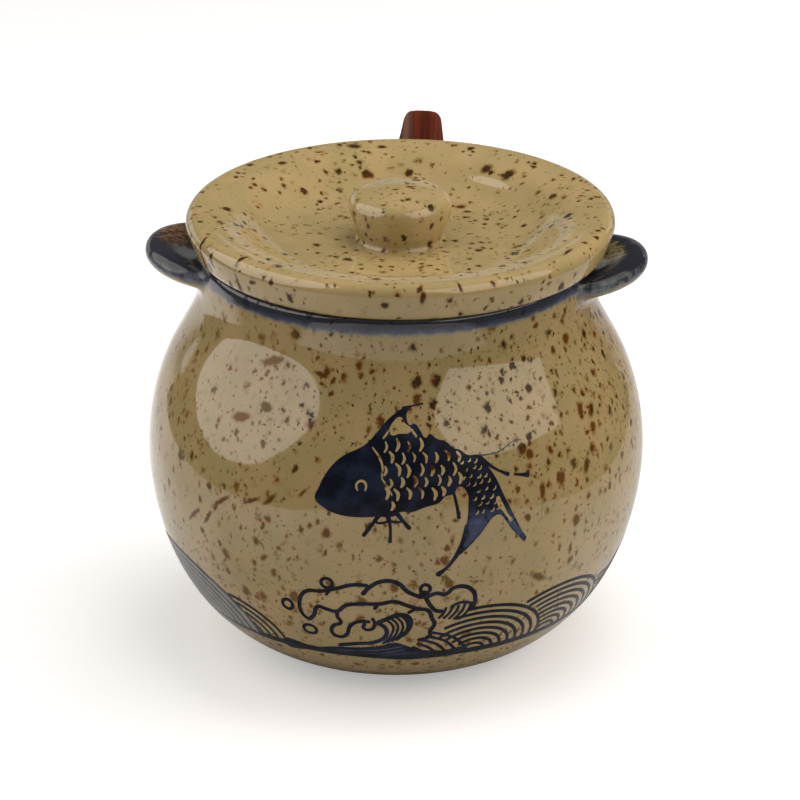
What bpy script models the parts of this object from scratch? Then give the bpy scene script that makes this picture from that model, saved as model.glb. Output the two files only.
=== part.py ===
# Lidded stoneware seasoning jar with two lug ears and a wooden spoon.
# Metres, +Z up. The jar stands on z = 0 with its axis on the Z axis, the plain
# front facing -Y, the ears on +X and -X and the spoon's slot in the neck at +Y.

import math

import bpy
import bmesh
from mathutils import Matrix, Vector

# turning and joints between pieces
turnSteps = 60
knobSteps = 36
earSteps = 36
seatGap = 0.0003
faceting = 0.0001

# jar: belly, base and neck
bellyRadius = 0.05035
bellyHeight = 0.0397
bellyFullness = 1.8
baseFullness = 3.6
shoulderFullness = 2.1
baseRadius = 0.0261
footRingWidth = 0.0045
footRecess = 0.0018
neckRadius = 0.0396
neckCornerHeight = 0.0701
neckCove = 0.0050
rimHeight = 0.0825
lipRadius = 0.0015

# jar: hollow
bellyWall = 0.0040
neckWall = 0.0042
floorThickness = 0.0070

# lid
lidRadius = 0.0428
lidSeatRadius = 0.0416
lidThickness = 0.0076
lidTopEdgeRadius = 0.0022
lidLowEdgeRadius = 0.0020
lidRimWidth = 0.0051
lidSlopeWidth = 0.0134
lidSlopeSteep = 0.4
dishDepth = 0.0062
lidFloorThickness = 0.0044
plugClearance = 0.0013
lidDrift = 0.0009

# knob on the lid
knobRadius = 0.0103
knobStemRadius = 0.0082
knobHeight = 0.0100
knobCrown = 0.0006
knobTopEdge = 0.0021

# lug ears
earReach = 0.0133
earSpread = 0.0142
earRootRadius = 0.0375
earRimRadius = 0.0024
earDip = 0.0016
earRise = 9.5
earTipHeight = 0.0809
earKeelDepth = 0.0062

# spoon and its slot
spoonLean = 55.0
spoonTurn = 2.1
handleWidth = 0.0108
handleEndWidth = 0.0100
handleThickness = 0.0032
handleOut = 0.0142
handleEndRound = 0.0021
lidClearance = 0.0006
bowlLength = 0.0270
bowlWidth = 0.0215
bowlDepth = 0.0068
bowlWall = 0.0016
bowlBend = 18.0
slotWidth = 0.0148
slotCorner = 0.0016


def clearScene():
    for obj in list(bpy.data.objects):
        bpy.data.objects.remove(obj, do_unlink=True)


def makeMaterial(name, colour, roughness, metallic=0.0):
    mat = bpy.data.materials.new(name)
    mat.use_nodes = True
    shader = mat.node_tree.nodes["Principled BSDF"]
    shader.inputs["Base Color"].default_value = (*colour, 1.0)
    shader.inputs["Roughness"].default_value = roughness
    shader.inputs["Metallic"].default_value = metallic
    return mat


def arcPoints(centreR, centreZ, radius, startDeg, endDeg, count):
    # points of a circular arc in the (r, z) plane, both ends included
    points = []
    for i in range(count + 1):
        angle = math.radians(startDeg + (endDeg - startDeg) * i / count)
        points.append((centreR + radius * math.cos(angle), centreZ + radius * math.sin(angle)))
    return points


def swell(fraction, fullness, fullnessOut):
    # radius fraction of a superellipse at a height fraction between 0 and 1
    fraction = min(max(fraction, 0.0), 1.0)
    return (1.0 - fraction ** fullness) ** (1.0 / fullnessOut)


def lowerReach():
    # distance below the belly at which its lower curve would close on the axis
    return bellyHeight / swell(baseRadius / bellyRadius, baseFullness, bellyFullness)


def upperReach():
    # distance above the belly at which its upper curve would close on the axis
    rise = neckCornerHeight - bellyHeight
    return rise / swell(neckRadius / bellyRadius, shoulderFullness, shoulderFullness)


def softMax(value, floorValue, blend):
    # the larger of two radii, joined by a cove where they are closer than the blend
    near = max(blend - abs(value - floorValue), 0.0)
    return max(value, floorValue) + near * near / (4.0 * blend)


def outerRadius(z, grow=0.0):
    # radius of the jar's outside at height z, grown by an allowance
    belly = bellyRadius + grow
    if z <= bellyHeight:
        return belly * swell((bellyHeight - z) / (lowerReach() + grow), bellyFullness, baseFullness)
    curve = belly * swell((z - bellyHeight) / (upperReach() + grow), shoulderFullness, shoulderFullness)
    return softMax(curve, neckRadius + grow, neckCove)


def innerRadius(z):
    # radius of the hollow at height z
    belly = bellyRadius - bellyWall
    if z <= bellyHeight:
        reach = bellyHeight - floorThickness
        return belly * swell((bellyHeight - z) / reach, bellyFullness, baseFullness)
    curve = belly * swell((z - bellyHeight) / (upperReach() - bellyWall), shoulderFullness, shoulderFullness)
    return softMax(curve, neckRadius - neckWall, neckCove)


def hollowFloor(r):
    # height of the hollow's lower surface at radius r
    fraction = min(r / (bellyRadius - bellyWall), 1.0)
    return bellyHeight - (bellyHeight - floorThickness) * swell(fraction, baseFullness, bellyFullness)


def jarProfile():
    # from the middle of the hollow's floor, up inside, over the lip and down outside
    points = [(0.0, floorThickness)]
    lowSteps = 12
    reach = bellyHeight - floorThickness
    for i in range(1, lowSteps + 1):
        # even steps in angle keep the turn from floor to wall round
        angle = math.radians(90.0 * i / lowSteps)
        r = (bellyRadius - bellyWall) * math.sin(angle) ** (2.0 / baseFullness)
        z = bellyHeight - reach * math.cos(angle) ** (2.0 / bellyFullness)
        points.append((r, z))
    lipRoom = min(lipRadius, neckWall * 0.4)
    upSteps = 8
    innerTop = rimHeight - lipRoom
    for i in range(1, upSteps + 1):
        z = bellyHeight + (innerTop - bellyHeight) * i / upSteps
        points.append((innerRadius(z), z))
    mouth = innerRadius(innerTop)
    outerTop = outerRadius(innerTop)
    points += arcPoints(mouth + lipRoom, innerTop, lipRoom, 180.0, 90.0, 3)[1:]
    points += arcPoints(outerTop - lipRoom, innerTop, lipRoom, 90.0, 0.0, 3)
    downSteps = 11
    for i in range(1, downSteps + 1):
        z = innerTop - (innerTop - bellyHeight) * i / downSteps
        points.append((outerRadius(z), z))
    baseReach = lowerReach()
    endAngle = math.asin(min((bellyHeight / baseReach) ** (bellyFullness / 2.0), 1.0))
    outSteps = 13
    edge = footRecess * 0.35
    for i in range(1, outSteps + 1):
        angle = endAngle * i / outSteps
        r = bellyRadius * math.cos(angle) ** (2.0 / baseFullness)
        z = bellyHeight - baseReach * math.sin(angle) ** (2.0 / bellyFullness)
        if z > edge:
            points.append((r, z))
    points.append((outerRadius(edge), edge))
    points.append((baseRadius - edge, 0.0))
    ringInner = baseRadius - edge - footRingWidth
    points.append((ringInner, 0.0))
    points.append((ringInner - footRecess * 0.7, footRecess))
    points.append((0.0, footRecess))
    return points


def lidProfile():
    # z = 0 is the underside that rests on the jar's lip
    top = lidThickness
    mouth = neckRadius - neckWall
    plugRadius = mouth - plugClearance
    dishFloor = top - dishDepth
    under = dishFloor - lidFloorThickness
    rimInner = lidRadius - lidRimWidth
    slopeInner = rimInner - lidSlopeWidth
    low = lidLowEdgeRadius
    # dish: flat floor, s-shaped slope, gently crowned rim
    points = [(0.0, dishFloor)]
    points.append((slopeInner * 0.5, dishFloor))
    slopeSteps = 8
    for i in range(slopeSteps + 1):
        t = i / slopeSteps
        r = slopeInner + (rimInner - slopeInner) * t
        # steepest at lidSlopeSteep of the width, easing to both sides
        rise = t * t / lidSlopeSteep
        if t > lidSlopeSteep:
            rise = 1.0 - (1.0 - t) ** 2 / (1.0 - lidSlopeSteep)
        points.append((r, dishFloor + (dishDepth - 0.0003) * rise))
    edge = lidTopEdgeRadius
    points.append(((rimInner + lidRadius - edge) / 2.0, top))
    points += arcPoints(lidRadius - edge, top - edge, edge, 90.0, 0.0, 5)
    # side narrowing a little, then the rounded lower edge
    points += arcPoints(lidSeatRadius - low, low, low, -10.0, -90.0, 3)
    # seat, then the plug that centres the lid in the mouth
    points.append((plugRadius + 0.0006, 0.0))
    points.append((plugRadius, -0.0006))
    points += arcPoints(plugRadius - low, under + low, low, 0.0, -90.0, 3)
    points.append((plugRadius - 0.0042, under))
    points.append((0.0, under))
    return points


def knobProfile():
    # z = 0 is the foot of the stem
    top = knobHeight
    points = [(0.0, top)]
    points.append(((knobRadius - knobTopEdge) * 0.6, top - knobCrown * 0.36))
    edge = top - knobCrown - knobTopEdge
    points += arcPoints(knobRadius - knobTopEdge, edge, knobTopEdge, 78.0, 0.0, 4)
    # side narrowing from the widest ring down to the foot
    steps = 5
    for i in range(1, steps + 1):
        t = i / steps
        points.append((knobRadius + (knobStemRadius - knobRadius) * t ** 1.4, edge * (1.0 - t)))
    points.append((0.0, 0.0))
    return points


def earProfile():
    # saucer: dipped top, rolled rim and a keel under it, z = 0 at the rim's middle
    rimCentre = earReach - earRimRadius
    points = [(0.0, earRimRadius - earDip)]
    points.append((rimCentre * 0.35, earRimRadius - earDip * 0.95))
    points.append((rimCentre * 0.7, earRimRadius - earDip * 0.4))
    points += arcPoints(rimCentre, 0.0, earRimRadius, 90.0, -60.0, 9)
    points.append((0.0, -earKeelDepth))
    return points


def turned(name, profile, steps, material, sharpDeg=35.0):
    # a profile line at +X, swept once round the object's Z axis
    mesh = bpy.data.meshes.new(name)
    mesh.from_pydata([(r, 0.0, z) for r, z in profile], [(i, i + 1) for i in range(len(profile) - 1)], [])
    obj = bpy.data.objects.new(name, mesh)
    bpy.context.scene.collection.objects.link(obj)
    screw = obj.modifiers.new("Turn", "SCREW")
    screw.axis = "Z"
    screw.angle = math.tau
    screw.steps = steps
    screw.render_steps = steps
    screw.use_merge_vertices = True
    screw.merge_threshold = 0.00002
    mesh.materials.append(material)
    return freeze(obj, sharpDeg)


def freeze(obj, sharpDeg=35.0):
    # swap the object's mesh for the shape that its modifiers give
    bpy.context.view_layer.update()
    graph = bpy.context.evaluated_depsgraph_get()
    mesh = bpy.data.meshes.new_from_object(obj.evaluated_get(graph))
    obj.modifiers.clear()
    obj.data = mesh
    mesh.shade_smooth()
    mesh.set_sharp_from_angle(angle=math.radians(sharpDeg))
    return obj


def asCutter(obj):
    obj.hide_render = True
    obj.display_type = "WIRE"
    return obj


def cutBy(obj, cutter, operation="DIFFERENCE"):
    cut = obj.modifiers.new("Cut", "BOOLEAN")
    cut.object = cutter
    cut.operation = operation
    cut.solver = "EXACT"


def frameAt(origin, lean, turn):
    # local Z along the handle, local Y away from the jar's axis, turned about Z
    tilt = Matrix.Rotation(math.radians(90.0 - lean) * -1.0, 4, "X")
    return Matrix.Rotation(math.radians(-turn), 4, "Z") @ Matrix.Translation(origin) @ tilt


def spoonOrigin():
    # the handle's middle line passes just under and outside the lid's lower edge
    lean = math.radians(spoonLean)
    off = lidClearance + handleThickness / 2.0
    rounding = lidLowEdgeRadius * (math.sin(lean) + math.cos(lean) - 1.0) / math.sin(lean)
    y = lidSeatRadius - rounding + math.sin(lean) * off
    z = rimHeight + seatGap - math.cos(lean) * off
    return Vector((0.0, y, z))


def bowlPlace(run):
    # middle of the bowl, its long axis along local Z, for a handle that runs this far down
    place = Matrix.Translation((0.0, 0.0, -run)) @ Matrix.Rotation(-math.radians(bowlBend), 4, "X")
    return place @ Matrix.Translation((0.0, 0.0, -bowlLength / 2.0))


def bowlGap(run):
    # least height of the bowl's outside over the hollow's floor
    place = frameAt(spoonOrigin(), spoonLean, spoonTurn) @ bowlPlace(run)
    least = bellyHeight
    for i in range(25):
        for j in range(13):
            along = math.pi * i / 24
            round_ = math.pi * j / 12
            x = bowlWidth / 2.0 * math.sin(along) * math.cos(round_)
            y = bowlDepth * math.sin(along) * math.sin(round_)
            z = bowlLength / 2.0 * math.cos(along)
            point = place @ Vector((x, y, z))
            least = min(least, point.z - hollowFloor(math.hypot(point.x, point.y)))
    return least


def handleRun():
    # length of the handle below its origin that sets the bowl down on the hollow's floor
    run = (spoonOrigin().z - bellyHeight) / math.sin(math.radians(spoonLean))
    for _ in range(14):
        run += (bowlGap(run) - seatGap - faceting) * 0.8
    return run


def ringOf(bm, centre, across, through, halfWidth, halfThick, count=14, power=3.2):
    # one rounded cross-section of the handle
    ring = []
    for i in range(count):
        angle = math.tau * (i + 0.5) / count
        c = math.cos(angle)
        s = math.sin(angle)
        a = math.copysign(abs(c) ** (2.0 / power), c) * halfWidth
        b = math.copysign(abs(s) ** (2.0 / power), s) * halfThick
        ring.append(bm.verts.new(centre + across * a + through * b))
    return ring


def makeSpoon(material):
    run = handleRun()
    bend = math.radians(bowlBend)
    bm = bmesh.new()
    across = Vector((1.0, 0.0, 0.0))
    stations = []
    half = handleThickness / 2.0
    # rounded free end
    endSteps = 4
    for i in range(endSteps + 1):
        angle = math.radians(90.0 * (1.0 - i / endSteps) * 0.93)
        z = handleOut - handleEndRound * (1.0 - math.sin(angle))
        width = handleEndWidth / 2.0 - handleEndRound * (1.0 - math.cos(angle))
        thick = half * (0.62 + 0.38 * math.cos(angle))
        stations.append((z, 0.0, width, thick, 0.0))
    # straight handle, a little narrower towards the bowl
    for t in (0.12, 0.3, 0.55, 0.8, 1.0):
        z = handleOut - handleEndRound - (handleOut - handleEndRound + run) * t
        waist = handleEndWidth + (handleWidth - handleEndWidth) * min(t * 3.0, 1.0)
        width = waist / 2.0 * (1.0 - 0.28 * max(t - 0.3, 0.0) / 0.7)
        stations.append((z, 0.0, width, half, 0.0))
    # the neck runs on into the bowl along the bent line
    for t in (0.5, 1.0):
        into = bowlLength * 0.16 * t
        stations.append((-run - into * math.cos(bend), -into * math.sin(bend), handleWidth / 2.0 * 0.72, half, bend))
    previous = None
    first = None
    for z, y, width, thick, turn in stations:
        through = Vector((0.0, math.cos(turn), -math.sin(turn)))
        ring = ringOf(bm, Vector((0.0, y, z)), across, through, width, thick)
        if previous is None:
            first = ring
        else:
            bmesh.ops.bridge_loops(bm, edges=loopEdges(bm, previous) + loopEdges(bm, ring))
        previous = ring
    bm.faces.new(first)
    bm.faces.new(list(reversed(previous)))
    bmesh.ops.recalc_face_normals(bm, faces=bm.faces[:])
    mesh = bpy.data.meshes.new("spoon")
    bm.to_mesh(mesh)
    bm.free()
    spoon = bpy.data.objects.new("spoon", mesh)
    bpy.context.scene.collection.objects.link(spoon)
    mesh.materials.append(material)
    # bowl: lower half of an ellipsoid about the bent line, hollowed by a smaller one
    place = bowlPlace(run)
    outer = ellipsoid("bowlOutside", bowlWidth / 2.0, bowlDepth, bowlLength / 2.0, place)
    inner = ellipsoid("bowlInside", bowlWidth / 2.0 - bowlWall, bowlDepth - bowlWall, bowlLength / 2.0 - bowlWall, place)
    trim = block("bowlTrim", bowlWidth, bowlDepth * 2.0, bowlLength * 1.2, place, -bowlDepth - half * 0.2)
    cutBy(outer, trim)
    freeze(outer)
    cutBy(spoon, outer, "UNION")
    cutBy(spoon, inner)
    freeze(spoon)
    for tool in (outer, inner, trim):
        bpy.data.objects.remove(tool, do_unlink=True)
    return spoon


def loopEdges(bm, ring):
    edges = []
    for i, vert in enumerate(ring):
        other = ring[(i + 1) % len(ring)]
        edge = bm.edges.get((vert, other))
        if edge is None:
            edge = bm.edges.new((vert, other))
        edges.append(edge)
    return edges


def ellipsoid(name, rx, ry, rz, place):
    bm = bmesh.new()
    bmesh.ops.create_uvsphere(bm, u_segments=24, v_segments=12, radius=1.0)
    bmesh.ops.scale(bm, vec=(rx, ry, rz), verts=bm.verts[:])
    bmesh.ops.transform(bm, matrix=place, verts=bm.verts[:])
    mesh = bpy.data.meshes.new(name)
    bm.to_mesh(mesh)
    bm.free()
    obj = bpy.data.objects.new(name, mesh)
    bpy.context.scene.collection.objects.link(obj)
    return asCutter(obj)


def block(name, width, depth, length, place, shift):
    # a box whose middle is moved along the local Y axis by the shift
    bm = bmesh.new()
    bmesh.ops.create_cube(bm, size=1.0)
    bmesh.ops.scale(bm, vec=(width, depth, length), verts=bm.verts[:])
    bmesh.ops.translate(bm, vec=(0.0, shift, 0.0), verts=bm.verts[:])
    bmesh.ops.transform(bm, matrix=place, verts=bm.verts[:])
    mesh = bpy.data.meshes.new(name)
    bm.to_mesh(mesh)
    bm.free()
    obj = bpy.data.objects.new(name, mesh)
    bpy.context.scene.collection.objects.link(obj)
    return asCutter(obj)


def slotCutter():
    # a channel along the handle, closed below by a floor with round corners
    bm = bmesh.new()
    bmesh.ops.create_cube(bm, size=1.0)
    length = (neckRadius - innerRadius(rimHeight)) * 10.0
    depth = rimHeight * 0.6
    bmesh.ops.scale(bm, vec=(slotWidth, depth, length), verts=bm.verts[:])
    floorLevel = handleThickness / 2.0 + seatGap
    bmesh.ops.translate(bm, vec=(0.0, floorLevel - depth / 2.0, 0.0), verts=bm.verts[:])
    corners = [e for e in bm.edges if all(v.co.y > 0.0 for v in e.verts)]
    corners = [e for e in corners if abs(e.verts[0].co.z - e.verts[1].co.z) > length / 2.0]
    bmesh.ops.bevel(bm, geom=corners, offset=slotCorner, segments=4, profile=0.5, affect="EDGES")
    bmesh.ops.transform(bm, matrix=frameAt(spoonOrigin(), spoonLean, 0.0), verts=bm.verts[:])
    mesh = bpy.data.meshes.new("slotCutter")
    bm.to_mesh(mesh)
    bm.free()
    obj = bpy.data.objects.new("slotCutter", mesh)
    bpy.context.scene.collection.objects.link(obj)
    return asCutter(obj)


def neckAllowance(material):
    # the jar's outside grown by the seat gap, closed above and below, for cutting the ears
    points = [(0.0, rimHeight * 1.1)]
    steps = 26
    low = bellyHeight
    high = rimHeight * 1.1
    for i in range(steps + 1):
        z = high - (high - low) * i / steps
        points.append((outerRadius(z, seatGap), z))
    points.append((0.0, low))
    return asCutter(turned("neckAllowance", points, turnSteps, material))


def makeEar(name, side, allowance, material):
    ear = turned(name, earProfile(), earSteps, material, 50.0)
    bm = bmesh.new()
    bm.from_mesh(ear.data)
    bmesh.ops.scale(bm, vec=(1.0, earSpread / earReach, 1.0), verts=bm.verts[:])
    bm.to_mesh(ear.data)
    bm.free()
    # the saucer rises outwards and is carried round to its own side
    rise = math.radians(earRise)
    drop = math.sin(rise) * (earReach - earRimRadius)
    lift = Matrix.Rotation(-rise, 4, "Y")
    place = Matrix.Translation((earRootRadius, 0.0, earTipHeight - drop)) @ lift
    if side < 0:
        place = Matrix.Rotation(math.pi, 4, "Z") @ place
    ear.matrix_world = place
    cutBy(ear, allowance)
    return freeze(ear, 50.0)


def build():
    clearScene()
    glaze = makeMaterial("Cream speckled glaze", (0.38, 0.30, 0.17), 0.12)
    rimGlaze = makeMaterial("Blue grey glaze", (0.045, 0.055, 0.085), 0.15)
    wood = makeMaterial("Dark lacquered wood", (0.085, 0.022, 0.012), 0.3)

    body = turned("jar_body", jarProfile(), turnSteps, glaze)
    slot = slotCutter()
    cutBy(body, slot)
    freeze(body)

    allowance = neckAllowance(glaze)
    right = makeEar("ear_right", 1.0, allowance, rimGlaze)
    left = makeEar("ear_left", -1.0, allowance, rimGlaze)

    lid = turned("lid", lidProfile(), turnSteps, glaze)
    lid.location = (lidDrift, 0.0, rimHeight + seatGap)
    knob = turned("lid_knob", knobProfile(), knobSteps, glaze)
    knob.parent = lid
    knob.location = (0.0, 0.0, lidThickness - dishDepth + seatGap)

    spoon = makeSpoon(wood)
    spoon.matrix_world = frameAt(spoonOrigin(), spoonLean, spoonTurn)

    for ear in (left, right):
        ear.parent = body
    for tool in (slot, allowance):
        bpy.data.objects.remove(tool, do_unlink=True)


build()
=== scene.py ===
import math
import random
from functools import partial

import bpy
from mathutils import Matrix, Vector


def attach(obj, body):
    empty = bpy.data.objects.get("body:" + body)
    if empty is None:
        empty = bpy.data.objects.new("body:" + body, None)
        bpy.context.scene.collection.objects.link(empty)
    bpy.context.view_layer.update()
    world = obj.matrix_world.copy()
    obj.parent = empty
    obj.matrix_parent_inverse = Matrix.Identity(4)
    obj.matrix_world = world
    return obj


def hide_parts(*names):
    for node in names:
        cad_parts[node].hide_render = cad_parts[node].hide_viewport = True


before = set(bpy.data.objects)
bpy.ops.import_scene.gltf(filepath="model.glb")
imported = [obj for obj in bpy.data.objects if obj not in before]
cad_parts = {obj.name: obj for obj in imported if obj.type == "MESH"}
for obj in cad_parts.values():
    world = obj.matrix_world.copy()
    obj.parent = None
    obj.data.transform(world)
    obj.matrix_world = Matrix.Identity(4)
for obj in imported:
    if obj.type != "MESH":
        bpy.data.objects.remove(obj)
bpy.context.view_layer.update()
mm = 0.001


# small helpers
def setMode(mode):
    bpy.ops.object.mode_set(mode=mode)


def clearSelection():
    if bpy.context.object and bpy.context.object.mode != "OBJECT":
        setMode("OBJECT")
    bpy.ops.object.select_all(action="DESELECT")


def takeWholeMesh():
    bpy.ops.mesh.select_all(action="SELECT")


def pick(obj):
    clearSelection()
    obj.select_set(True)
    bpy.context.view_layer.objects.active = obj


def applyAll(obj):
    pick(obj)
    for name in [m.name for m in obj.modifiers]:
        bpy.ops.object.modifier_apply(modifier=name)


def smooth(obj, degrees):
    pick(obj)
    bpy.ops.object.shade_smooth_by_angle(angle=math.radians(degrees))


def dress(obj, material):
    obj.data.materials.clear()
    obj.data.materials.append(material)


def arc(centreR, centreZ, radius, start, end, count):
    # points of a round edge in the (radius, height) plane
    line = []
    for i in range(count + 1):
        a = math.radians(start + (end - start) * i / count)
        line.append((centreR + radius * math.cos(a), centreZ + radius * math.sin(a)))
    return line


def turnShape(name, outline, steps):
    # one corner point is extruded along the outline and the line is spun on the wheel's axis
    clearSelection()
    bpy.ops.mesh.primitive_plane_add(size=mm)
    piece = bpy.context.object
    piece.name = name
    setMode("EDIT")
    bpy.ops.mesh.merge(type="CENTER")
    last = (0.0, 0.0)
    for n, (r, z) in enumerate(outline):
        step = ((r - last[0]) * mm, 0, (z - last[1]) * mm)
        if n == 0:
            bpy.ops.transform.translate(value=step)
        else:
            bpy.ops.mesh.extrude_vertices_move(TRANSFORM_OT_translate={"value": step})
        last = (r, z)
    takeWholeMesh()
    bpy.ops.mesh.spin(steps=steps, angle=math.tau, center=(0, 0, 0), axis=(0, 0, 1))
    takeWholeMesh()
    bpy.ops.mesh.remove_doubles(threshold=0.002 * mm)
    bpy.ops.mesh.normals_make_consistent(inside=False)
    setMode("OBJECT")
    return piece


def moveMesh(obj, matrix):
    # places the mesh itself, so the finished object stays at the origin
    obj.data.transform(matrix)
    obj.data.update()


def combine(obj, tool, operation):
    # cuts a shape out, joins it on or keeps what both hold, and the tool is used up
    mod = obj.modifiers.new(operation.title(), "BOOLEAN")
    mod.object = tool
    mod.operation = operation
    mod.solver = "EXACT"
    applyAll(obj)
    bpy.data.objects.remove(tool, do_unlink=True)


# jar body, all sizes in mm
pot = {
    "steps": 192,
    "bellyRadius": 50.35, "bellyHeight": 39.7, "bellyFullness": 1.8, "baseFullness": 3.6,
    "shoulderFullness": 2.1, "baseRadius": 26.1, "footRing": 4.5, "footRecess": 1.8, "footEdge": 0.63,
    "neckRadius": 39.6, "neckCorner": 70.1, "neckCove": 5.0, "rimHeight": 82.5, "lip": 1.0,
    "bellyWall": 4.0, "neckWall": 4.2, "floor": 7.0,
}


def swell(part, p, q):
    part = min(max(part, 0.0), 1.0)
    return (1.0 - part ** p) ** (1.0 / q)


def softMax(value, least, blend):
    near = max(blend - abs(value - least), 0.0)
    return max(value, least) + near * near / (4.0 * blend)


lowReach = pot["bellyHeight"] / swell(
    pot["baseRadius"] / pot["bellyRadius"], pot["baseFullness"], pot["bellyFullness"])
highReach = (pot["neckCorner"] - pot["bellyHeight"]) / swell(
    pot["neckRadius"] / pot["bellyRadius"], pot["shoulderFullness"], pot["shoulderFullness"])
bellyInside = pot["bellyRadius"] - pot["bellyWall"]
insideReach = pot["bellyHeight"] - pot["floor"]


def potRadius(z, belly, low, high, neck):
    # radius of the turned wall at a height: one curve below the belly's widest line, one above it
    if z <= pot["bellyHeight"]:
        return belly * swell((pot["bellyHeight"] - z) / low, pot["bellyFullness"], pot["baseFullness"])
    curve = belly * swell((z - pot["bellyHeight"]) / high, pot["shoulderFullness"], pot["shoulderFullness"])
    return softMax(curve, neck, pot["neckCove"])


def outside(z):
    return potRadius(z, pot["bellyRadius"], lowReach, highReach, pot["neckRadius"])


def inside(z):
    neck = pot["neckRadius"] - pot["neckWall"]
    return potRadius(z, bellyInside, insideReach, highReach - pot["bellyWall"], neck)


def jarOutline():
    line = [(0.0, pot["floor"])]
    for i in range(1, 33):
        a = math.radians(90.0 * i / 32)
        line.append((bellyInside * math.sin(a) ** (2 / pot["baseFullness"]),
                     pot["bellyHeight"] - insideReach * max(math.cos(a), 0.0) ** (2 / pot["bellyFullness"])))
    top = pot["rimHeight"] - pot["lip"]
    for i in range(1, 33):
        z = pot["bellyHeight"] + (top - pot["bellyHeight"]) * i / 32
        line.append((inside(z), z))
    line += arc(inside(top) + pot["lip"], top, pot["lip"], 180, 90, 6)[1:]
    line += arc(outside(top) - pot["lip"], top, pot["lip"], 90, 0, 6)
    for i in range(1, 57):
        z = top - (top - pot["bellyHeight"]) * i / 56
        line.append((outside(z), z))
    last = math.asin((pot["bellyHeight"] / lowReach) ** (pot["bellyFullness"] / 2))
    edge = pot["footEdge"]
    for i in range(1, 53):
        a = last * i / 52
        z = pot["bellyHeight"] - lowReach * math.sin(a) ** (2 / pot["bellyFullness"])
        if z > edge:
            line.append((pot["bellyRadius"] * math.cos(a) ** (2 / pot["baseFullness"]), z))
    # foot ring with wiped edges, then the recess under the base
    foot = pot["baseRadius"]
    line += [(outside(edge), edge), (foot + 0.05, 0.3), (foot - 0.25, 0.08), (foot - edge, 0.0)]
    ring = foot - edge - pot["footRing"]
    line += [(ring + 0.3, 0.0), (ring, 0.08), (ring - 0.5, 0.8), (ring - 1.0, 1.5)]
    line += [(ring - 1.6, pot["footRecess"])]
    line += [(ring * 0.5, pot["footRecess"]), (0.0, pot["footRecess"])]
    return line


# the spoon's line: it leans back through a slot in the neck at +Y
spoonLine = {
    "lean": 55.0, "turn": 2.1, "origin": (1.556, 42.424, 81.538),
    "slotWidth": 14.8, "slotDepth": 50, "slotLength": 42, "slotCorner": 1.6, "thick": 3.2, "seat": 0.3,
    "voxel": 0.35, "smoothing": 6, "taper": 9.0, "endScale": 0.80, "facet": 0.9, "facetFrom": 1.9,
}


def spoonPlace(turn=True):
    # local Z runs up the handle and local Y points away from the jar's axis
    tilt = Matrix.Rotation(math.radians(spoonLine["lean"] - 90.0), 4, "X")
    if turn:
        about = Matrix.Rotation(math.radians(-spoonLine["turn"]), 4, "Z")
        return Matrix.Translation(Vector(spoonLine["origin"]) * mm) @ about @ tilt
    x, y, z = spoonLine["origin"]
    return Matrix.Translation(Vector((0, math.hypot(x, y), z)) * mm) @ tilt


def makeSpoon():
    # carved from the plain spoon: its edges eased and the free end tapered
    pick(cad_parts["spoon"])
    bpy.ops.object.duplicate()
    spoon = bpy.context.object
    spoon.name = "wooden_spoon"
    setMode("EDIT")
    takeWholeMesh()
    bpy.ops.mesh.remove_doubles(threshold=0.005 * mm)
    setMode("OBJECT")
    spoon.data.remesh_voxel_size = spoonLine["voxel"] * mm
    bpy.ops.object.voxel_remesh()
    setMode("EDIT")
    takeWholeMesh()
    bpy.ops.mesh.vertices_smooth(factor=0.5, repeat=spoonLine["smoothing"])
    setMode("OBJECT")
    place = spoonPlace()
    back = place.inverted()
    local = [back @ v.co for v in spoon.data.vertices]
    tip = max(p.z for p in local)
    for v, p in zip(spoon.data.vertices, local):
        t = min(max((tip - p.z) / (spoonLine["taper"] * mm), 0.0), 1.0)
        p.x *= spoonLine["endScale"] + (1 - spoonLine["endScale"]) * t * t * (3 - 2 * t)
        # one long edge of the handle is planed off
        facet = spoonLine["facet"] * (-p.x / mm - spoonLine["facetFrom"]) - spoonLine["thick"] / 2
        p.y = max(p.y, facet * mm) if p.y < 0 and t < 1 else p.y
        v.co = place @ p
    spoon.data.update()
    bpy.ops.object.shade_smooth()
    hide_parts("spoon")
    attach(spoon, "spoon")
    return spoon


def makeJar():
    jar = turnShape("stoneware_jar", jarOutline(), pot["steps"])
    # channel for the spoon's handle, closed below by a floor with round corners
    clearSelection()
    bpy.ops.mesh.primitive_cube_add(size=1, location=(0, 0, 0))
    cutter = bpy.context.object
    setMode("EDIT")
    wide, deep, long = [spoonLine[side] * mm for side in ("slotWidth", "slotDepth", "slotLength")]
    bpy.ops.transform.resize(value=(wide, deep, long))
    level = (spoonLine["thick"] / 2 + spoonLine["seat"]) * mm
    bpy.ops.transform.translate(value=(0, level - deep / 2, 0))
    setMode("OBJECT")
    for edge in cutter.data.edges:
        ends = [cutter.data.vertices[i].co for i in edge.vertices]
        edge.select = all(e.y > 0 for e in ends) and abs(ends[0].z - ends[1].z) > long / 2
    setMode("EDIT")
    bpy.ops.mesh.select_mode(type="EDGE")
    bpy.ops.mesh.bevel(offset=spoonLine["slotCorner"] * mm, segments=6, affect="EDGES")
    bpy.ops.mesh.select_mode(type="VERT")
    setMode("OBJECT")
    moveMesh(cutter, spoonPlace(False))
    combine(jar, cutter, "DIFFERENCE")
    smooth(jar, 40)
    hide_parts("jar_body")
    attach(jar, "jar")
    return jar


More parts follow.
